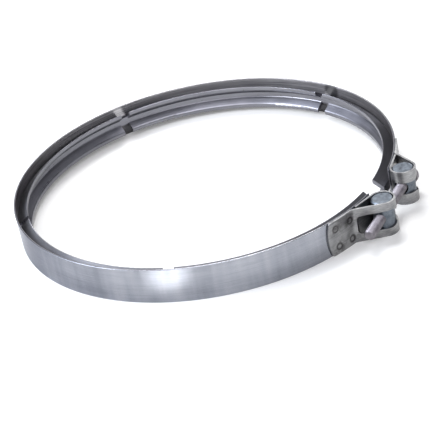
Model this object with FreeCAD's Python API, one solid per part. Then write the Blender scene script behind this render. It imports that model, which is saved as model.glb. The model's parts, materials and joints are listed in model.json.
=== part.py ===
"""V-band clamp: a sprung steel band with a notched V retainer inside it, and a latch at its gap.

The latch is two looped straps, a round trunnion in each loop and one low-head cap screw through both.
Frame: millimetres, +Z along the axis of the joined tubes, origin at the ring's centre halfway up the band.
The latch's gap is centred on +X. The rear strap is on the +Y side of the gap, the front strap on the -Y side.
"""
import FreeCAD, Part
import math
import os

# Band: a flat strip rolled to an open ring
BAND_RADIUS = 143.5          # outer face
BAND_THICKNESS = 1.2
BAND_WIDTH = 26.0
BAND_GAP = 36.1              # between the band's ends, along its outer face
BAND_EDGE_ROUND = 0.3

# Retainer: V section, welded against the inside of the band, its legs notched at four places
RETAINER_THICKNESS = 2.8
RETAINER_DEPTH = 8.35        # from the band's inner face to the throat
LEG_SLOPE_DEG = 35.5         # of each leg from the plane of the ring
LEG_TIP_HEIGHT = 9.6         # back corner of each tip, above or below mid-plane
GROOVE_FLAT = 4.0            # width of the groove's flat bottom
GROOVE_ROUND = 1.2
TIP_LAND_ROUND = 2.0
TIP_BACK_ROUND = 0.4
NOTCHED_WEB = 6.5            # height of the web where it runs on through a notch
NOTCHED_WEB_ROUND = 0.4
# Distances from the middle of the latch's gap to the retainer's two ends, along the band's outer face
FIRST_RETAINER_START = 7.0
LAST_RETAINER_END = 10.8
# Both sides of each notch, counter-clockwise from the middle of the latch's gap
NOTCHES_DEG = ((72.5, 75.7), (145.6, 148.7), (220.6, 222.6), (286.3, 289.6))

# Straps: one strip each, as wide as the band, folded round a trunnion and welded to the outside of the band.
# Places along a strap are distances from the middle of the latch's gap, along the band's outer face.
STRAP_THICKNESS = 1.35
STRAP_END = 65.4             # tip of the rounded end
STRAP_END_RADIUS = 35.0
STRAP_END_CORNER = 2.0
OUTER_LEG_SLOPE_DEG = 32.0   # of the straight outer leg from the X axis
LEG_BEND_RADIUS = 3.5        # outer face, where the outer leg leaves the band
INNER_LEG_LENGTH = 18.0      # from the loop to the inner leg's free end under the outer leg
INNER_LEG_GAP = 0.03         # between the inner leg and the band
LOOP_CLEARANCE = 0.05        # trunnion in its loop, radial
REAR_STAND_OFF = 0.25        # between the rear loop and the band
FRONT_STAND_OFF = 1.8        # the front loop is sprung a little further out
WINDOW_START = 1.3           # along the straight outer leg, from its foot to the window's end
WINDOW_CORNER = 3.0
HEAD_CLEARANCE = 0.4         # window round the screw's head
WINDOW_ROUND_DEG = 30.0      # middle of the window's rounded end, about the trunnion
SHANK_CLEARANCE = 0.5        # slot round the screw's shank
SLOT_END_DEG = -140.0        # far end of the slot, about the trunnion

# Spot welds: ring-shaped dents in each strap, unevenly placed by hand.
# Each is a distance from the middle of the latch's gap and a height above mid-plane.
WELD_PLACES = ((58.2, 6.7), (44.4, 6.3), (56.8, -7.5), (44.2, -8.0))
WELD_RADIUS = 2.7
WELD_CORE_RADIUS = 1.8
WELD_DEPTH = 0.25

# Trunnions
TRUNNION_RADIUS = 7.9
TRUNNION_INSET = 0.5         # of each end from the strap's edge
TRUNNION_CHAMFER = 0.9
TRUNNION_SPACING = 42.8      # between their axes, along Y
THREAD_CLEARANCE = 0.05      # screw in the front trunnion's threaded bore, radial
REAR_BORE_RADIUS = 5.0       # plain bore, wide enough for the screw to cant

# Low-head socket cap screw
SCREW_RADIUS = 4.0
SCREW_LENGTH = 80.0          # under the head
SCREW_END_CHAMFER = 1.0
HEAD_RADIUS = 6.5
HEAD_HEIGHT = 5.0
HEAD_CHAMFER = 0.5
HEAD_SEAT_GAP = 0.1          # between the head and the rear trunnion
SOCKET_ACROSS_FLATS = 5.0
SOCKET_DEPTH = 2.8

Z_AXIS = FreeCAD.Vector(0, 0, 1)
Y_AXIS = FreeCAD.Vector(0, 1, 0)
ORIGIN = FreeCAD.Vector(0, 0, 0)


def polar(radius, degrees, height=0.0):
    """A point at a radius and azimuth about the ring's axis."""
    angle = math.radians(degrees)
    return FreeCAD.Vector(radius * math.cos(angle), radius * math.sin(angle), height)


def unit(degrees):
    """A unit vector in the plane of the ring."""
    return polar(1.0, degrees)


def turn_for(distance):
    """The azimuth reached by a distance along the band's outer face, in degrees."""
    return math.degrees(distance / BAND_RADIUS)


def azimuth(vector):
    """The angle of a vector in the plane of the ring, in degrees."""
    return math.degrees(math.atan2(vector.y, vector.x))


def line(start, end):
    """A straight edge."""
    return Part.LineSegment(start, end).toShape()


def arc_about(centre, radius, start_deg, end_deg):
    """An arc edge from one angle to another, whichever way that is."""
    angles = (start_deg, (start_deg + end_deg) / 2, end_deg)
    return Part.Arc(*[centre + unit(angle) * radius for angle in angles]).toShape()


def corner_arc(before, corner, after, radius):
    """The start, middle and end of the arc that rounds a corner."""
    back = (before - corner).normalize()
    ahead = (after - corner).normalize()
    half = back.getAngle(ahead) / 2
    reach = radius / math.tan(half)
    middle = corner + (back + ahead).normalize() * (radius / math.sin(half) - radius)
    return corner + back * reach, middle, corner + ahead * reach


def rounded_outline(corners):
    """A closed wire through (point, rounding radius) corners."""
    points = [point for point, radius in corners]
    count = len(corners)
    bends = [corner_arc(points[i - 1], points[i], points[(i + 1) % count], corners[i][1]) for i in range(count)]
    edges = []
    for i, (start, middle, end) in enumerate(bends):
        if corners[i][1] > 0:
            edges.append(Part.Arc(start, middle, end).toShape())
        edges.append(line(end, bends[(i + 1) % count][0]))
    return Part.Wire(edges)


def revolve(outline, start_deg, end_deg):
    """Turns a closed outline in the XZ plane about the ring's axis."""
    face = Part.Face(outline)
    face.rotate(ORIGIN, Z_AXIS, start_deg)
    return face.revolve(ORIGIN, Z_AXIS, end_deg - start_deg)


def section(corners):
    """A closed outline in the XZ plane from (radius, height, rounding) corners."""
    return rounded_outline([(FreeCAD.Vector(radius, 0, height), rounding) for radius, height, rounding in corners])


def outer_band():
    """The open ring of flat strip."""
    inner = BAND_RADIUS - BAND_THICKNESS
    half = BAND_WIDTH / 2
    places = ((inner, -half), (BAND_RADIUS, -half), (BAND_RADIUS, half), (inner, half))
    outline = section([(radius, height, BAND_EDGE_ROUND) for radius, height in places])
    half_gap = turn_for(BAND_GAP / 2)
    return revolve(outline, half_gap, 360 - half_gap)


def retainer_corners():
    """The upper half of the V section, from the web's back to the groove, as (radius, height, rounding)."""
    slope = math.tan(math.radians(LEG_SLOPE_DEG))
    back = BAND_RADIUS - BAND_THICKNESS
    throat = back - RETAINER_DEPTH
    back_root = LEG_TIP_HEIGHT - RETAINER_DEPTH * slope
    groove_tip = LEG_TIP_HEIGHT - RETAINER_THICKNESS / math.cos(math.radians(LEG_SLOPE_DEG))
    floor = throat + (groove_tip - GROOVE_FLAT / 2) / slope
    return [(back, back_root, TIP_BACK_ROUND), (throat, LEG_TIP_HEIGHT, TIP_BACK_ROUND),
            (throat, groove_tip, TIP_LAND_ROUND), (floor, GROOVE_FLAT / 2, GROOVE_ROUND)]


def retainer_outline():
    """The V section: a web against the band, two sloping legs and upright lands at the throat."""
    upper = retainer_corners()
    lower = [(radius, -height, rounding) for radius, height, rounding in reversed(upper)]
    return section(upper + lower)


def web_outline():
    """The section of the web where it runs on through a notch."""
    radii = [radius for radius, height, rounding in retainer_corners()]
    back, floor = max(radii), radii[-1]
    half = NOTCHED_WEB / 2
    places = ((back, half), (floor, half), (floor, -half), (back, -half))
    return section([(radius, height, NOTCHED_WEB_ROUND) for radius, height in places])


def retainer_spans():
    """Azimuths of each stretch of the retainer: where its web starts, its legs start, its legs end, its web ends."""
    first = turn_for(FIRST_RETAINER_START)
    last = 360 - turn_for(LAST_RETAINER_END)
    middles = [(end + start) / 2 for end, start in NOTCHES_DEG]
    leg_starts = [first] + [start for end, start in NOTCHES_DEG]
    leg_ends = [end for end, start in NOTCHES_DEG] + [last]
    return list(zip([first] + middles, leg_starts, leg_ends, middles + [last]))


def retainer_segment(web_start, leg_start, leg_end, web_end):
    """One stretch of the retainer, which meets the next one in the middle of a notch."""
    body = revolve(retainer_outline(), leg_start, leg_end)
    tongues = [revolve(web_outline(), start, end)
               for start, end in ((web_start, leg_start), (leg_end, web_end)) if end > start]
    return body.fuse(tongues).removeSplitter()


def trunnion_place(side):
    """The middle of a trunnion; side is +1 for the rear one and -1 for the front one."""
    loop = TRUNNION_RADIUS + LOOP_CLEARANCE + STRAP_THICKNESS
    reach = BAND_RADIUS + loop + (REAR_STAND_OFF if side > 0 else FRONT_STAND_OFF)
    half = TRUNNION_SPACING / 2
    return FreeCAD.Vector(math.sqrt(reach ** 2 - half ** 2), side * half, 0)


def screw_way():
    """The direction of the screw, from the front trunnion to the rear one."""
    return (trunnion_place(1) - trunnion_place(-1)).normalize()


def leg_bend(anchor, direction, circle):
    """The bend from the band's circle to a straight leg: where it starts, its middle and its end."""
    fillet = LEG_BEND_RADIUS + STRAP_THICKNESS / 2
    outward = FreeCAD.Vector(direction.y, -direction.x, 0)
    start = anchor + outward * fillet
    along = start.dot(direction)
    step = -along - math.sqrt(along ** 2 - start.dot(start) + (circle + fillet) ** 2)
    centre = start + direction * step
    on_circle = centre.normalize() * circle
    centre = start + direction * step
    on_leg = anchor + direction * step
    middle = centre + (on_circle + on_leg - centre * 2).normalize() * fillet
    return on_circle, middle, on_leg


def strap_path(trunnion):
    """The middle line of a strap's strip, from its rounded end, round a trunnion on the +Y side and back.

    Returns the edges, the foot and the top of the straight outer leg.
    """
    circle = BAND_RADIUS + STRAP_THICKNESS / 2
    loop = TRUNNION_RADIUS + LOOP_CLEARANCE + STRAP_THICKNESS / 2
    direction = unit(180 - OUTER_LEG_SLOPE_DEG)
    leg_top_deg = 90 - OUTER_LEG_SLOPE_DEG
    leg_top = trunnion + unit(leg_top_deg) * loop
    on_circle, middle, foot = leg_bend(leg_top, direction, circle)
    nearest = circle + INNER_LEG_GAP + loop
    inner_leg_deg = azimuth(trunnion) + math.degrees(math.acos(nearest / trunnion.Length))
    loop_foot = trunnion - unit(inner_leg_deg) * loop
    edges = [
        arc_about(ORIGIN, circle, turn_for(STRAP_END), azimuth(on_circle)),
        Part.Arc(on_circle, middle, foot).toShape(),
        line(foot, leg_top),
        arc_about(trunnion, loop, leg_top_deg, inner_leg_deg - 180),
        line(loop_foot, loop_foot + unit(inner_leg_deg + 90) * INNER_LEG_LENGTH),
    ]
    return edges, foot, leg_top


def shifted(edge, distance):
    """A line or arc edge moved sideways, to its left when the distance is positive."""
    stations = (edge.FirstParameter, (edge.FirstParameter + edge.LastParameter) / 2, edge.LastParameter)
    points = [edge.valueAt(at) + Z_AXIS.cross(edge.tangentAt(at)) * distance for at in stations]
    if isinstance(edge.Curve, Part.Line):
        return line(points[0], points[2])
    return Part.Arc(*points).toShape()


def strip(path):
    """The strip of metal whose middle line is the path, at full strap width."""
    left = [shifted(edge, STRAP_THICKNESS / 2) for edge in path]
    right = [shifted(edge, -STRAP_THICKNESS / 2) for edge in path]
    caps = [line(left[at].valueAt(end(left[at])), right[at].valueAt(end(right[at])))
            for at, end in ((0, lambda edge: edge.FirstParameter), (-1, lambda edge: edge.LastParameter))]
    outline = Part.Wire(left + [caps[1]] + right[::-1] + [caps[0]])
    outline.translate(Z_AXIS * (-BAND_WIDTH / 2))
    return Part.Face(outline).extrude(Z_AXIS * BAND_WIDTH)


def strap_end_waste():
    """What is cut away from the strip to leave its rounded end."""
    end_deg = turn_for(STRAP_END)
    outward = unit(end_deg)
    onward = unit(end_deg + 90)
    length = BAND_WIDTH / 2
    frame = FreeCAD.Rotation(onward, Z_AXIS, outward, "XYZ")
    base = polar(BAND_RADIUS - BAND_WIDTH, end_deg) - onward * length
    turned = FreeCAD.Placement(base - Z_AXIS * (BAND_WIDTH / 2), frame)
    tongue = Part.makeBox(length * 2, BAND_WIDTH, BAND_WIDTH * 2)
    tongue.Placement = turned
    centre = base + onward * (length - STRAP_END_RADIUS)
    tongue = tongue.common(Part.makeCylinder(STRAP_END_RADIUS, BAND_WIDTH * 2, centre, outward))
    corners = [edge for edge in tongue.Edges
               if isinstance(edge.Curve, Part.Line) and abs(edge.tangentAt(0).dot(outward)) > 0.99
               and (edge.CenterOfMass - base).dot(onward) > length / 2]
    tongue = tongue.makeFillet(STRAP_END_CORNER, corners)
    block = Part.makeBox(length * 3, BAND_WIDTH * 3, BAND_WIDTH * 2)
    block.Placement = FreeCAD.Placement(base + onward - Z_AXIS * (BAND_WIDTH * 1.5), frame)
    return block.cut(tongue)


def leg_window(foot, leg_top, half_height):
    """The window's part in the straight outer leg, with two rounded corners."""
    direction = (leg_top - foot).normalize()
    normal = FreeCAD.Vector(-direction.y, direction.x, 0) * STRAP_THICKNESS * 2
    start = foot + direction * WINDOW_START - normal
    end = leg_top - normal
    up = Z_AXIS * half_height
    outline = rounded_outline([(start - up, WINDOW_CORNER), (end - up, 0.0), (end + up, 0.0),
                               (start + up, WINDOW_CORNER)])
    return Part.Face(outline).extrude(normal * 2)


def loop_opening(trunnion, start_deg, end_deg, half_height):
    """A wedge through the loop's wall between two angles about the trunnion."""
    reach = TRUNNION_RADIUS + LOOP_CLEARANCE + STRAP_THICKNESS * 1.5
    wedge = Part.makeCylinder(reach, half_height * 2, trunnion - Z_AXIS * half_height, Z_AXIS, end_deg - start_deg)
    wedge.rotate(trunnion, Z_AXIS, start_deg)
    return wedge


def weld_dent(along, height):
    """A ring-shaped dent left by a spot weld in the outer leg's face."""
    outward = unit(turn_for(along))
    base = outward * (BAND_RADIUS + STRAP_THICKNESS - WELD_DEPTH) + Z_AXIS * height
    disc = Part.makeCylinder(WELD_RADIUS, STRAP_THICKNESS, base, outward)
    return disc.cut(Part.makeCylinder(WELD_CORE_RADIUS, STRAP_THICKNESS, base, outward))


def looped_strap(trunnion):
    """A looped strap on the +Y side of the gap, round a trunnion placed there."""
    path, foot, leg_top = strap_path(trunnion)
    window = HEAD_RADIUS + HEAD_CLEARANCE
    slot = SCREW_RADIUS + SHANK_CLEARANCE
    cutters = [
        strap_end_waste(),
        leg_window(foot, leg_top, window),
        loop_opening(trunnion, WINDOW_ROUND_DEG, 90 - OUTER_LEG_SLOPE_DEG, window),
        Part.makeCylinder(window, TRUNNION_RADIUS * 2, trunnion, unit(WINDOW_ROUND_DEG)),
        loop_opening(trunnion, SLOT_END_DEG, WINDOW_ROUND_DEG, slot),
    ]
    cutters += [weld_dent(along, height) for along, height in WELD_PLACES]
    return strip(path).cut(cutters)


def front_strap():
    """The strap on the -Y side, made as the mirror image of one on the +Y side."""
    place = trunnion_place(-1)
    mirrored_place = FreeCAD.Vector(place.x, -place.y, place.z)
    return looped_strap(mirrored_place).mirror(ORIGIN, Y_AXIS)


def trunnion(side, bore_radius):
    """A round trunnion with chamfered ends and a cross bore along the screw."""
    length = BAND_WIDTH - TRUNNION_INSET * 2
    body = Part.makeCylinder(TRUNNION_RADIUS, length, Z_AXIS * (-length / 2))
    rims = [edge for edge in body.Edges if isinstance(edge.Curve, Part.Circle)]
    body = body.makeChamfer(TRUNNION_CHAMFER, rims)
    way = screw_way()
    bore = Part.makeCylinder(bore_radius, TRUNNION_RADIUS * 4, way * (-TRUNNION_RADIUS * 2), way)
    body = body.cut(bore)
    body.translate(trunnion_place(side))
    return body


def cap_screw():
    """The screw, its head beyond the rear trunnion and its free end beyond the front one."""
    corners = ((0, HEAD_HEIGHT), (HEAD_RADIUS - HEAD_CHAMFER, HEAD_HEIGHT),
               (HEAD_RADIUS, HEAD_HEIGHT - HEAD_CHAMFER), (HEAD_RADIUS, 0), (SCREW_RADIUS, 0),
               (SCREW_RADIUS, SCREW_END_CHAMFER - SCREW_LENGTH), (SCREW_RADIUS - SCREW_END_CHAMFER, -SCREW_LENGTH),
               (0, -SCREW_LENGTH))
    points = [FreeCAD.Vector(radius, 0, height) for radius, height in corners]
    body = Part.Face(Part.makePolygon(points + points[:1])).revolve(ORIGIN, Z_AXIS, 360)
    hexagon = [polar(SOCKET_ACROSS_FLATS / math.sqrt(3), 60 * i, HEAD_HEIGHT - SOCKET_DEPTH) for i in range(6)]
    socket = Part.Face(Part.makePolygon(hexagon + hexagon[:1])).extrude(Z_AXIS * SOCKET_DEPTH * 2)
    body = body.cut(socket)
    way = screw_way()
    seat = trunnion_place(1) + way * (TRUNNION_RADIUS + HEAD_SEAT_GAP)
    body.Placement = FreeCAD.Placement(seat, FreeCAD.Rotation(Z_AXIS, way))
    return body


def pieces():
    """Every piece by name."""
    found = {"outer_band": outer_band()}
    for number, span in enumerate(retainer_spans(), 1):
        found[f"retainer_segment_{number}"] = retainer_segment(*span)
    found["front_strap"] = front_strap()
    found["rear_strap"] = looped_strap(trunnion_place(1))
    found["front_trunnion"] = trunnion(-1, SCREW_RADIUS + THREAD_CLEARANCE)
    found["rear_trunnion"] = trunnion(1, REAR_BORE_RADIUS)
    found["cap_screw"] = cap_screw()
    return found


os.makedirs("parts", exist_ok=True)
for name, shape in pieces().items():
    shape.exportStep(f"parts/{name}.step")
    print(name, "solids", len(shape.Solids), "valid", shape.isValid(), "volume", round(shape.Volume, 2))
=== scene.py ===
"""The v-band clamp in Blender: looks, light, floor and the camera of the photograph."""
import json
import math

import bpy
from mathutils import Matrix, Vector

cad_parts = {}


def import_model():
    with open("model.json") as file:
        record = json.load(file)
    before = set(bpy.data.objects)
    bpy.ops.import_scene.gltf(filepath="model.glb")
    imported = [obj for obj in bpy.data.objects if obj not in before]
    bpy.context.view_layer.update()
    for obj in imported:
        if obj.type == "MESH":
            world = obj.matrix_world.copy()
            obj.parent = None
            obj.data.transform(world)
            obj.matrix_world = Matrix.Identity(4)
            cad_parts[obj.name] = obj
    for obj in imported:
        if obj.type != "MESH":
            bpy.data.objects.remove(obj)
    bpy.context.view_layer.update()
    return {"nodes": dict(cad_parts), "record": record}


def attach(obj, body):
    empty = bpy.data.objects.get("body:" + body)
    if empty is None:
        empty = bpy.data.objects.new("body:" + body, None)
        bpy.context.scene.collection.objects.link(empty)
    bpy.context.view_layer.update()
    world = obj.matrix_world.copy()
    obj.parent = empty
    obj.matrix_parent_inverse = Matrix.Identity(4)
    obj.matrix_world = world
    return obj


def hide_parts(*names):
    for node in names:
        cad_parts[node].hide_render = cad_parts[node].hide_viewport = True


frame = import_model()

# The ring, in metres
BAND_RADIUS = 0.1435
BAND_EDGE = 0.013            # half the band's width
OUTSIDE_DEPTH = 0.0004       # the band's outer look reaches this deep into its edge
INSIDE_DEPTH = 0.0008        # and its inner look begins at this depth

# The screw, in metres
SCREW_RADIUS = 0.004
SCREW_LENGTH = 0.080         # under the head
SCREW_NECK = 0.007           # plain stretch under the head
SCREW_SEGMENTS = 48
SHARP_ANGLE_DEG = 35
THREAD_PITCH = 0.00125
THREAD_DEPTH = 0.00058
THREAD_HALF_WIDTH = 0.42     # of its groove, in pitches
THREAD_STEPS = 10            # rings of points in each pitch
END_CHAMFER = 0.001
END_CENTRE = 0.0004          # radius of the innermost ring at the free end
HEAD_RADIUS = 0.0065
HEAD_HEIGHT = 0.005
HEAD_CHAMFER = 0.0005
HEAD_FACE = 0.55             # innermost ring of the head's face, in head radii
HEAD_SEAT = 0.008            # from the rear trunnion's axis to the underside of the head
SOCKET_ACROSS_FLATS = 0.005
SOCKET_DEPTH = 0.0028
SOCKET_FLARE = 1.06          # of the socket's rim
SOCKET_FLARE_DEPTH = 0.0002
SOCKET_DIP = 0.0004          # of the middle of its floor
SOCKET_CENTRE = 0.0003       # radius of the innermost ring of its floor

# Spot welds: distance from the middle of the latch's gap along the band, and height
WELD_PLACES = ((0.0582, 0.0067), (0.0444, 0.0063), (0.0568, -0.0075), (0.0442, -0.0080))
WELD_RING = 0.00225          # radius of the middle of each ring-shaped dent
WELD_RIM_SHADE_FADE = (0.0003, 0.0012)  # distances from that circle over which the painted shade in the dent's rim fades out
# how dark the painted shade in the dents' rims is
WELD_RIM_SHADE_STRENGTH = 0.75
WELD_HEAT_FADE = (0.003, 0.008)    # distances from a weld's middle over which its heat marks fade out
WELD_HEAT_STRENGTH = 0.65

# Painted shade on the band's inside beside the retainer's notches, where the band lies in shade below the
# web: distance along the band from +X, and height
NOTCH_SHADE_PLACES = ((0.1787, 0.009), (0.1920, -0.008), (0.3669, -0.008), (-0.3466, -0.008), (-0.1805, -0.008))
NOTCH_SHADE_FADE = (0.0055, 0.0085)
NOTCH_SHADE_STRENGTH = 0.9

# The steels, each from its darkest tone to its lightest
BAND_OUTSIDE = ((0.20, 0.21, 0.24), (0.35, 0.36, 0.39))
BAND_INSIDE = ((0.21, 0.205, 0.215), (0.42, 0.41, 0.415))
RETAINER = ((0.16, 0.16, 0.178), (0.235, 0.235, 0.255))
# painted shade: a darker copy of the retainer's steel for the backs of its legs, which face the band
RETAINER_BACK_SHADE = ((0.09, 0.09, 0.096), (0.14, 0.14, 0.15))
STRAP = ((0.15, 0.15, 0.158), (0.41, 0.41, 0.405))
TRUNNION = ((0.085, 0.098, 0.115), (0.17, 0.192, 0.218))
SCREW = ((0.13, 0.12, 0.132), (0.25, 0.235, 0.247))

# Marks, painted shade and other colours
# painted shade for the band's inside beside the notches
NOTCH_SHADE_COLOR = (0.08, 0.08, 0.084)
# the real heat marks round the welds, and the painted shade in the rims of their dents
WELD_HEAT_AND_RIM_SHADE = (0.05, 0.045, 0.045)
SPECK = (0.08, 0.07, 0.07)
GRAZING = (0.5, 0.5, 0.52)   # calms what the band's outside mirrors at a grazing angle
WHITE = (1.0, 1.0, 1.0)

# The roughness of each steel, at its darkest tone and at its lightest
BAND_ROUGHNESS = (0.15, 0.26)
RETAINER_ROUGHNESS = (0.26, 0.40)
STRAP_ROUGHNESS = (0.30, 0.45)
TRUNNION_ROUGHNESS = (0.30, 0.48)
SCREW_ROUGHNESS = (0.42, 0.60)

# How much rougher the band's inside and the backs of the retainer's legs are
BAND_INSIDE_DULLING = 0.12
RETAINER_BACK_DULLING = 0.14

# The part of the mixed noise's range that the tones are spread over
TONE_RANGE = (0.36, 0.64)
BAND_TONE_RANGE = (0.40, 0.60)
STREAK_RANGE = (0.35, 0.65)

# The camera, fitted to the ring in the photograph
CAMERA_PLACE = (0.55047, -0.82464, 0.52663)
CAMERA_TURN_DEG = (60.322, 10.153, 27.626)
CAMERA_LENS = 124.138
CAMERA_SHIFT = (-0.00587, -0.02122)

# The studio as the metal mirrors it.
# Each glow has an azimuth, an elevation and a radius in degrees, and a colour.
GLOWS = (
    (-66, 54, 38, (3.60, 3.60, 3.90)),
    (213, 33, 34, (3.80, 4.10, 4.80)),
    (140, 10, 34, (0.50, 0.50, 0.54)),
)
WALLS = (0.30, 0.30, 0.33)
WALL_TOP = 0.3               # sine of the elevation from which the walls fade into the ceiling
CEILING = (0.62, 0.63, 0.67)
CEILING_EDGE = 0.95          # sine of the elevation at which the ceiling's colour is reached
SOFT_LIGHT = (0.45, 0.45, 0.45)  # from all round, on dull surfaces

# The floor, and the small pool of light on it, in metres
FLOOR_SIZE = 8
FLOOR_GREY = (0.8, 0.8, 0.8)
FLOOR_GLOW = 0.20            # what the camera and the metal see on top of the lit floor
FLOOR_GLOW_REACH = 0.5       # up to this distance from the ring's centre
FAR_FLOOR_GLOW = 0.75        # the same for the far floor
FAR_FLOOR_START = 2.2        # from this distance on
POOL_PLACE = (0.047, -0.180)
POOL_RADIUS = 0.030
POOL_HEIGHT = 0.6
POOL_POWER = 55


# Shader helpers

def new_material(name):
    """A new material, its node tree and its Principled shader."""
    material = bpy.data.materials.new(name)
    material.use_nodes = True
    tree = material.node_tree
    return material, tree, tree.nodes["Principled BSDF"]


def new_metal(name):
    """The same for a metal."""
    material, tree, shader = new_material(name)
    shader.inputs["Metallic"].default_value = 1.0
    return material, tree, shader


def add(tree, kind, values=None, **settings):
    """Adds a shader node, sets its properties and its unlinked inputs."""
    node = tree.nodes.new(kind)
    for key, value in settings.items():
        setattr(node, key, value)
    for key, value in (values or {}).items():
        node.inputs[key].default_value = value
    return node


def math_node(tree, operation, first, second=None):
    """A math node from sockets or numbers."""
    node = add(tree, "ShaderNodeMath", operation=operation)
    for socket, value in zip(node.inputs, (first, second)):
        if value is None:
            continue
        if isinstance(value, (int, float)):
            socket.default_value = value
        else:
            tree.links.new(value, socket)
    return node.outputs[0]


def vector_node(tree, operation, *values):
    """A vector math node from sockets or vectors."""
    node = add(tree, "ShaderNodeVectorMath", operation=operation)
    for socket, value in zip(node.inputs, values):
        if isinstance(value, tuple):
            socket.default_value = value
        else:
            tree.links.new(value, socket)
    return node.outputs


def length_of_two(tree, first, second):
    """The length of a vector with two parts."""
    square = math_node(tree, "ADD", math_node(tree, "MULTIPLY", first, first),
                       math_node(tree, "MULTIPLY", second, second))
    return math_node(tree, "SQRT", square)


def split(tree, vector):
    """The three parts of a vector."""
    node = add(tree, "ShaderNodeSeparateXYZ")
    tree.links.new(vector, node.inputs[0])
    return node.outputs


def ring_coordinates(tree):
    """Metres along the band, height and radius, as one vector and as sockets."""
    x, y, z = split(tree, add(tree, "ShaderNodeTexCoord").outputs["Object"])
    along = math_node(tree, "MULTIPLY", math_node(tree, "ARCTAN2", y, x), BAND_RADIUS)
    radius = length_of_two(tree, x, y)
    joined = add(tree, "ShaderNodeCombineXYZ")
    for socket, value in zip(joined.inputs, (along, z, radius)):
        tree.links.new(value, socket)
    return joined.outputs[0], along, z, radius


def nearest_place(tree, along, z, places):
    """The distance to the nearest of several places, each a distance along the band and a height."""
    nearest = None
    for place, height in places:
        across = math_node(tree, "SUBTRACT", along, place)
        up = math_node(tree, "SUBTRACT", z, height)
        off = length_of_two(tree, across, up)
        nearest = off if nearest is None else math_node(tree, "MINIMUM", nearest, off)
    return nearest


def noise(tree, vector, scale, detail, stretch=(1, 1, 1)):
    """A noise value over a vector, stretched per axis."""
    mapping = add(tree, "ShaderNodeMapping", {"Scale": stretch})
    tree.links.new(vector, mapping.inputs["Vector"])
    texture = add(tree, "ShaderNodeTexNoise", {"Scale": scale, "Detail": detail})
    tree.links.new(mapping.outputs[0], texture.inputs["Vector"])
    return texture.outputs["Fac"]


def add_up(tree, values):
    """The sum of (socket, weight) pairs."""
    total = None
    for value, weight in values:
        share = math_node(tree, "MULTIPLY", value, weight)
        total = share if total is None else math_node(tree, "ADD", total, share)
    return total


def spread(tree, value, from_low, from_high, low=0.0, high=1.0):
    """Maps a value from one range to another, held at its ends."""
    node = add(tree, "ShaderNodeMapRange", {"From Min": from_low, "From Max": from_high,
                                            "To Min": low, "To Max": high})
    tree.links.new(value, node.inputs["Value"])
    return node.outputs[0]


def tint(tree, value, dark, light):
    """A colour between two, each a colour or a socket, by a value from 0 to 1."""
    node = add(tree, "ShaderNodeMix", data_type="RGBA")
    tree.links.new(value, node.inputs["Factor"])
    for socket, color in ((node.inputs[6], dark), (node.inputs[7], light)):
        if isinstance(color, tuple):
            socket.default_value = (*color, 1)
        else:
            tree.links.new(color, socket)
    return node.outputs[2]


def shade(tree, tone, colors, tone_range=TONE_RANGE):
    """A steel's colour by its tone."""
    return tint(tree, spread(tree, tone, *tone_range), *colors)


def set_roughness(tree, shader, roughness, place=None, dulling=0.0):
    """Links the roughness, raised where place is 1."""
    if place is not None:
        roughness = math_node(tree, "ADD", roughness, math_node(tree, "MULTIPLY", place, dulling))
    tree.links.new(roughness, shader.inputs["Roughness"])


def bump(tree, shader, height, distance, before=None):
    """Adds a bump to a shader's normal; returns the new normal."""
    node = add(tree, "ShaderNodeBump", {"Strength": 1.0, "Distance": distance})
    tree.links.new(height, node.inputs["Height"])
    if before is not None:
        tree.links.new(before, node.inputs["Normal"])
    tree.links.new(node.outputs[0], shader.inputs["Normal"])
    return node.outputs[0]


def brush_along_band(tree, shader, anisotropy):
    """Gloss drawn out across brush lines that run along the band, a quarter turn from the tangent."""
    tangent = add(tree, "ShaderNodeTangent", direction_type="RADIAL", axis="Z")
    tree.links.new(tangent.outputs[0], shader.inputs["Tangent"])
    shader.inputs["Anisotropic"].default_value = anisotropy
    shader.inputs["Anisotropic Rotation"].default_value = 0.25


# Materials

def band_inside(tree, vector, along, z):
    """The colour of the band's inside, with streaks and painted shade beside the notches."""
    streaks = noise(tree, vector, scale=900.0, detail=3.0, stretch=(0.02, 1, 0))
    plain = shade(tree, streaks, BAND_INSIDE, STREAK_RANGE)
    # painted shade on the band's inside beside the notches, darkest near their places
    off_notch_shade = nearest_place(tree, along, z, NOTCH_SHADE_PLACES)
    notch_shade = spread(tree, off_notch_shade, *NOTCH_SHADE_FADE, NOTCH_SHADE_STRENGTH, 0.0)
    return tint(tree, notch_shade, plain, NOTCH_SHADE_COLOR)


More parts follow.
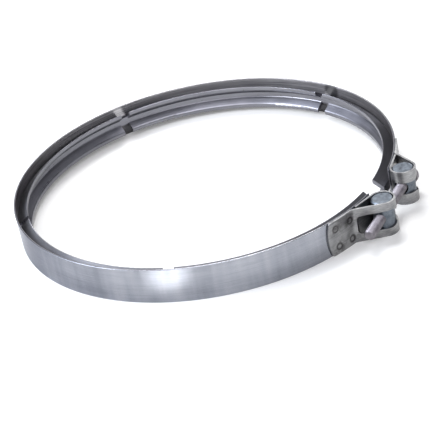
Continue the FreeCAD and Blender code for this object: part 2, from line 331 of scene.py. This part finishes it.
def band_steel():
    """Polished strip: fine lines along it, faint clouds and waviness, and a duller, browner inside with
    painted shade beside the notches.
    """
    material, tree, shader = new_metal("band_steel")
    vector, along, z, radius = ring_coordinates(tree)
    lines = noise(tree, vector, scale=3000.0, detail=2.0, stretch=(0.01, 1, 1))
    clouds = noise(tree, vector, scale=60.0, detail=4.0, stretch=(0.35, 1, 1))
    wipes = noise(tree, vector, scale=140.0, detail=2.0, stretch=(1, 0.12, 1))
    waves = noise(tree, vector, scale=30.0, detail=0.0, stretch=(1, 0.25, 1))
    stains = noise(tree, vector, scale=24.0, detail=2.0, stretch=(1, 0.3, 1))
    tone = add_up(tree, ((lines, 0.2), (clouds, 0.25), (wipes, 0.2), (stains, 0.35)))
    inside = band_inside(tree, vector, along, z)
    outside = shade(tree, tone, BAND_OUTSIDE, BAND_TONE_RANGE)
    face = spread(tree, radius, BAND_RADIUS - INSIDE_DEPTH, BAND_RADIUS - OUTSIDE_DEPTH)
    tree.links.new(tint(tree, face, inside, outside), shader.inputs["Base Color"])
    tree.links.new(tint(tree, face, WHITE, GRAZING), shader.inputs["Specular Tint"])
    inner = math_node(tree, "SUBTRACT", 1.0, face)
    polish = spread(tree, tone, *BAND_TONE_RANGE, *BAND_ROUGHNESS)
    set_roughness(tree, shader, polish, inner, BAND_INSIDE_DULLING)
    brush_along_band(tree, shader, 0.6)
    normal = bump(tree, shader, lines, 0.000002)
    bump(tree, shader, waves, 0.00022, normal)
    return material


def outer_faces(tree):
    """1 on the backs of the retainer's legs, which face away from the ring's axis, and 0 elsewhere; there
    the steel gets painted shade and more roughness.
    """
    place = add(tree, "ShaderNodeTexCoord")
    flat = vector_node(tree, "MULTIPLY", place.outputs["Object"], (1, 1, 0))
    outward = vector_node(tree, "NORMALIZE", flat["Vector"])
    facing = vector_node(tree, "DOT_PRODUCT", place.outputs["Normal"], outward["Vector"])
    return spread(tree, facing["Value"], 0.2, 0.45)


def retainer_steel():
    """Rolled section: satin, with drawn lines, handling marks, a few dark specks and painted shade on the
    backs of the legs.
    """
    material, tree, shader = new_metal("retainer_steel")
    vector = ring_coordinates(tree)[0]
    lines = noise(tree, vector, scale=1600.0, detail=3.0, stretch=(0.012, 1, 1))
    clouds = noise(tree, vector, scale=70.0, detail=4.0, stretch=(0.5, 1, 1))
    specks = noise(tree, vector, scale=420.0, detail=2.0, stretch=(0.8, 1, 1))
    waves = noise(tree, vector, scale=26.0, detail=1.0, stretch=(0.7, 1, 1))
    tone = add_up(tree, ((lines, 0.45), (clouds, 0.55)))
    front = tint(tree, spread(tree, specks, 0.70, 0.76, 0.0, 0.6), shade(tree, tone, RETAINER), SPECK)
    back = outer_faces(tree)
    # painted shade: the backs of the legs take the darker copy of the steel
    color = tint(tree, back, front, shade(tree, tone, RETAINER_BACK_SHADE))
    tree.links.new(color, shader.inputs["Base Color"])
    polish = spread(tree, tone, *TONE_RANGE, *RETAINER_ROUGHNESS)
    set_roughness(tree, shader, polish, back, RETAINER_BACK_DULLING)
    brush_along_band(tree, shader, 0.45)
    normal = bump(tree, shader, lines, 0.000006)
    bump(tree, shader, waves, 0.00015, normal)
    return material


def weld_heat_and_rim_shade(tree, along, z):
    """How near a point is to the rim of one of the ring-shaped weld dents, where shade is painted, and to
    its middle, where the heat marks are, each from 0 to 1.
    """
    off_middle = nearest_place(tree, math_node(tree, "ABSOLUTE", along), z, WELD_PLACES)
    off_ring = math_node(tree, "ABSOLUTE", math_node(tree, "SUBTRACT", off_middle, WELD_RING))
    ring = spread(tree, off_ring, *WELD_RIM_SHADE_FADE, 1.0, 0.0)
    near = spread(tree, off_middle, *WELD_HEAT_FADE, 1.0, 0.0)
    return ring, near


def strap_steel():
    """Satin strip with brush lines, smudges, heat marks at the spot welds and painted shade in the rims of
    their dents.
    """
    material, tree, shader = new_metal("strap_steel")
    vector, along, z = ring_coordinates(tree)[:3]
    lines = noise(tree, vector, scale=2200.0, detail=3.0, stretch=(0.02, 1, 0.2))
    clouds = noise(tree, vector, scale=150.0, detail=4.0)
    smudges = noise(tree, vector, scale=55.0, detail=2.0)
    tone = add_up(tree, ((lines, 0.35), (clouds, 0.3), (smudges, 0.35)))
    ring, near = weld_heat_and_rim_shade(tree, along, z)
    patches = spread(tree, noise(tree, vector, scale=190.0, detail=3.0), 0.46, 0.60)
    heat = math_node(tree, "MULTIPLY", math_node(tree, "MULTIPLY", near, patches), WELD_HEAT_STRENGTH)
    # marks joins the real heat marks with the painted shade in the dents' rims
    marks = math_node(tree, "MAXIMUM", heat, math_node(tree, "MULTIPLY", ring, WELD_RIM_SHADE_STRENGTH))
    color = tint(tree, marks, shade(tree, tone, STRAP), WELD_HEAT_AND_RIM_SHADE)
    tree.links.new(color, shader.inputs["Base Color"])
    set_roughness(tree, shader, spread(tree, tone, *TONE_RANGE, *STRAP_ROUGHNESS))
    normal = bump(tree, shader, lines, 0.000008)
    bump(tree, shader, clouds, 0.00005, normal)
    return material


def turned_steel(name, colors, roughness, mottle):
    """Turned steel with fine rings of tool marks and mottled patches."""
    material, tree, shader = new_metal(name)
    place = add(tree, "ShaderNodeTexCoord").outputs["Object"]
    patches = noise(tree, place, scale=mottle, detail=4.0)
    grain = noise(tree, place, scale=2600.0, detail=2.0, stretch=(1, 0.25, 1))
    tone = add_up(tree, ((patches, 0.65), (grain, 0.35)))
    tree.links.new(shade(tree, tone, colors), shader.inputs["Base Color"])
    set_roughness(tree, shader, spread(tree, tone, *TONE_RANGE, *roughness))
    normal = bump(tree, shader, grain, 0.00001)
    bump(tree, shader, patches, 0.00006, normal)
    return material


def cover(material, *nodes):
    """Gives CAD nodes their material."""
    for node in nodes:
        mesh = frame["nodes"][node].data
        mesh.materials.clear()
        mesh.materials.append(material)


def paint_nodes():
    """Materials for every CAD node that stays."""
    cover(band_steel(), "outer_band")
    cover(retainer_steel(), *(f"retainer_segment_{number}" for number in range(1, 6)))
    cover(strap_steel(), "front_strap", "rear_strap")
    trunnion = turned_steel("trunnion_steel", TRUNNION, TRUNNION_ROUGHNESS, mottle=330.0)
    cover(trunnion, "front_trunnion", "rear_trunnion")


# The threaded screw

def screw_places():
    """The screw's direction and the middle of its seat, from the joints' places."""
    joints = {joint["name"]: joint for joint in frame["record"]["behaviour"]["joints"]}
    way = Vector(joints["screw_turn"]["axis"]).normalized()
    rear = Vector(joints["rear_trunnion_swivel"]["pos_m"])
    return way, rear + way * HEAD_SEAT


def ring_of(radius_at, height):
    """A ring of points about +Z, whose radius may change with the angle."""
    points = []
    for i in range(SCREW_SEGMENTS):
        angle = 2 * math.pi * i / SCREW_SEGMENTS
        radius = radius_at(angle)
        points.append((radius * math.cos(angle), radius * math.sin(angle), height))
    return points


def round_ring(radius, height):
    """A ring of points with one radius."""
    return ring_of(lambda angle: radius, height)


def thread_radius(height):
    """The radius round the shank at a height under the head, for a right-hand V thread."""
    run_out = min(1.0, max(0.0, (-height - SCREW_NECK) / THREAD_PITCH))
    from_end = SCREW_LENGTH + height
    most = SCREW_RADIUS - max(0.0, END_CHAMFER - from_end)

    def radius_at(angle):
        turn = (height / THREAD_PITCH + angle / (2 * math.pi)) % 1.0
        groove = max(0.0, 1.0 - abs(turn - 0.5) / THREAD_HALF_WIDTH)
        return min(most, SCREW_RADIUS - THREAD_DEPTH * groove * run_out)
    return radius_at


def head_corners():
    """Radius and height of the head's rings, from its seat to its face."""
    return (
        (HEAD_RADIUS - HEAD_CHAMFER / 2, 0.0),
        (HEAD_RADIUS, HEAD_CHAMFER / 2),
        (HEAD_RADIUS, HEAD_HEIGHT - HEAD_CHAMFER * 1.5),
        (HEAD_RADIUS - HEAD_CHAMFER / 2, HEAD_HEIGHT - HEAD_CHAMFER / 3),
        (HEAD_RADIUS - HEAD_CHAMFER * 1.5, HEAD_HEIGHT),
        (HEAD_RADIUS * HEAD_FACE, HEAD_HEIGHT),
    )


def socket_wall(grow):
    """The radius round the hexagon socket, grown by a factor."""
    def radius_at(angle):
        off_flat = (angle + math.pi / 6) % (math.pi / 3) - math.pi / 6
        return SOCKET_ACROSS_FLATS / 2 / math.cos(off_flat) * grow
    return radius_at


def screw_rings():
    """Every ring of the screw, from the middle of its free end to the floor of its socket."""
    step = THREAD_PITCH / THREAD_STEPS
    socket_floor = HEAD_HEIGHT - SOCKET_DEPTH
    rings = [round_ring(END_CENTRE, -SCREW_LENGTH)]
    for i in range(round(SCREW_LENGTH / step) + 1):
        height = -SCREW_LENGTH + i * step
        rings.append(ring_of(thread_radius(height), height))
    rings += [round_ring(radius, height) for radius, height in head_corners()]
    rings.append(ring_of(socket_wall(SOCKET_FLARE), HEAD_HEIGHT))
    rings.append(ring_of(socket_wall(1.0), HEAD_HEIGHT - SOCKET_FLARE_DEPTH))
    rings.append(ring_of(socket_wall(1.0), socket_floor))
    rings.append(round_ring(SOCKET_CENTRE, socket_floor - SOCKET_DIP))
    return rings


def screw_mesh():
    """A closed mesh over the screw's rings."""
    rings = screw_rings()
    points = [point for ring in rings for point in ring]
    faces = []
    for row in range(len(rings) - 1):
        low, high = row * SCREW_SEGMENTS, (row + 1) * SCREW_SEGMENTS
        for i in range(SCREW_SEGMENTS):
            right = (i + 1) % SCREW_SEGMENTS
            faces.append((low + i, low + right, high + right, high + i))
    faces.append(tuple(reversed(range(SCREW_SEGMENTS))))
    faces.append(tuple(range(len(points) - SCREW_SEGMENTS, len(points))))
    mesh = bpy.data.meshes.new("threaded_screw")
    mesh.from_pydata(points, [], faces)
    return mesh


def threaded_screw():
    """The cap screw with its thread and socket, in place of the plain one."""
    mesh = screw_mesh()
    way, seat = screw_places()
    turn = way.to_track_quat("Z", "Y").to_matrix().to_4x4()
    mesh.transform(Matrix.Translation(seat) @ turn)
    mesh.validate()
    screw = bpy.data.objects.new("threaded_screw", mesh)
    bpy.context.scene.collection.objects.link(screw)
    mesh.materials.append(turned_steel("screw_steel", SCREW, SCREW_ROUGHNESS, mottle=260.0))
    mesh.shade_smooth()
    mesh.set_sharp_from_angle(angle=math.radians(SHARP_ANGLE_DEG))
    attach(screw, "cap_screw")
    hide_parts("cap_screw")


# Floor, light and camera

def background_rays(tree):
    """1 for the rays in which the white background shows."""
    paths = add(tree, "ShaderNodeLightPath")
    seen = math_node(tree, "MAXIMUM", paths.outputs["Is Camera Ray"], paths.outputs["Is Glossy Ray"])
    return math_node(tree, "MAXIMUM", seen, paths.outputs["Is Transmission Ray"])


def floor():
    """A plain pale floor that keeps the shadow."""
    bpy.ops.mesh.primitive_plane_add(size=FLOOR_SIZE, location=(0, 0, -BAND_EDGE))
    plane = bpy.context.object
    plane.name = "floor"
    material, tree, shader = new_material("floor_paper")
    shader.inputs["Base Color"].default_value = (*FLOOR_GREY, 1)
    shader.inputs["Roughness"].default_value = 1.0
    shader.inputs["Specular IOR Level"].default_value = 0.0
    shader.inputs["Emission Color"].default_value = (*WHITE, 1)
    place = add(tree, "ShaderNodeTexCoord").outputs["Object"]
    away = vector_node(tree, "LENGTH", place)["Value"]
    strength = spread(tree, away, FLOOR_GLOW_REACH, FAR_FLOOR_START, FLOOR_GLOW, FAR_FLOOR_GLOW)
    shown = math_node(tree, "MULTIPLY", background_rays(tree), strength)
    tree.links.new(shown, shader.inputs["Emission Strength"])
    plane.data.materials.append(material)


def add_light(name, kind, place, power):
    """A lamp at a place."""
    data = bpy.data.lights.new(name, kind)
    data.energy = power
    light = bpy.data.objects.new(name, data)
    light.location = place
    bpy.context.scene.collection.objects.link(light)
    return light


def softbox(name, place, size, power, color=(1, 1, 1)):
    """A square area light aimed at the ring's centre."""
    light = add_light(name, "AREA", place, power)
    light.data.size = size
    light.data.color = color
    light.rotation_euler = Vector(place).to_track_quat("Z", "Y").to_euler()


def floor_pool():
    """A small spot on the floor in front of the band, which the band mirrors as a bright patch."""
    light = add_light("pool", "SPOT", (*POOL_PLACE, POOL_HEIGHT - BAND_EDGE), POOL_POWER)
    light.data.spot_size = 2 * math.atan(POOL_RADIUS / POOL_HEIGHT)
    light.data.spot_blend = 0.9
    light.data.shadow_soft_size = 0.01


def unit_vector(azimuth_deg, elevation_deg):
    """A direction from its azimuth and elevation."""
    azimuth, elevation = math.radians(azimuth_deg), math.radians(elevation_deg)
    flat = math.cos(elevation)
    return flat * math.cos(azimuth), flat * math.sin(azimuth), math.sin(elevation)


def glow(tree, direction, azimuth_deg, elevation_deg, radius_deg):
    """A soft round glow about one direction of the studio, from 0 to 1."""
    centre = unit_vector(azimuth_deg, elevation_deg)
    nearness = vector_node(tree, "DOT_PRODUCT", direction, centre)["Value"]
    edge = math.cos(math.radians(radius_deg))
    ramp = add(tree, "ShaderNodeMapRange", {"From Min": edge, "From Max": 1.0},
               interpolation_type="SMOOTHSTEP")
    tree.links.new(nearness, ramp.inputs["Value"])
    return ramp.outputs[0]


def world():
    """Grey studio walls with soft glows for the metal, white to the camera."""
    surround = bpy.data.worlds.new("surround")
    bpy.context.scene.world = surround
    surround.use_nodes = True
    tree = surround.node_tree
    direction = add(tree, "ShaderNodeTexCoord").outputs["Generated"]
    height = split(tree, direction)[2]
    color = tint(tree, spread(tree, height, WALL_TOP, CEILING_EDGE), WALLS, CEILING)
    for azimuth_deg, elevation_deg, radius_deg, hue in GLOWS:
        strength = glow(tree, direction, azimuth_deg, elevation_deg, radius_deg)
        color = vector_node(tree, "MULTIPLY_ADD", hue, strength, color)["Vector"]
    paths = add(tree, "ShaderNodeLightPath")
    lit = tint(tree, paths.outputs["Is Diffuse Ray"], color, SOFT_LIGHT)
    seen = tint(tree, paths.outputs["Is Camera Ray"], lit, WHITE)
    tree.links.new(seen, tree.nodes["Background"].inputs["Color"])


def camera():
    """The camera of the photograph."""
    data = bpy.data.cameras.new("camera")
    data.sensor_width = 36.0
    data.lens = CAMERA_LENS
    data.shift_x, data.shift_y = CAMERA_SHIFT
    data.clip_start = 0.05
    view = bpy.data.objects.new("camera", data)
    view.location = CAMERA_PLACE
    view.rotation_euler = [math.radians(turn) for turn in CAMERA_TURN_DEG]
    bpy.context.scene.collection.objects.link(view)
    bpy.context.scene.camera = view


paint_nodes()
threaded_screw()
floor()
softbox("left", (-0.90, -0.90, 0.80), size=0.7, power=20, color=(0.93, 0.96, 1.0))
softbox("back", (-0.5, 0.8, 1.5), size=0.75, power=24)
floor_pool()
world()
camera()
bpy.context.scene.view_settings.view_transform = "Standard"
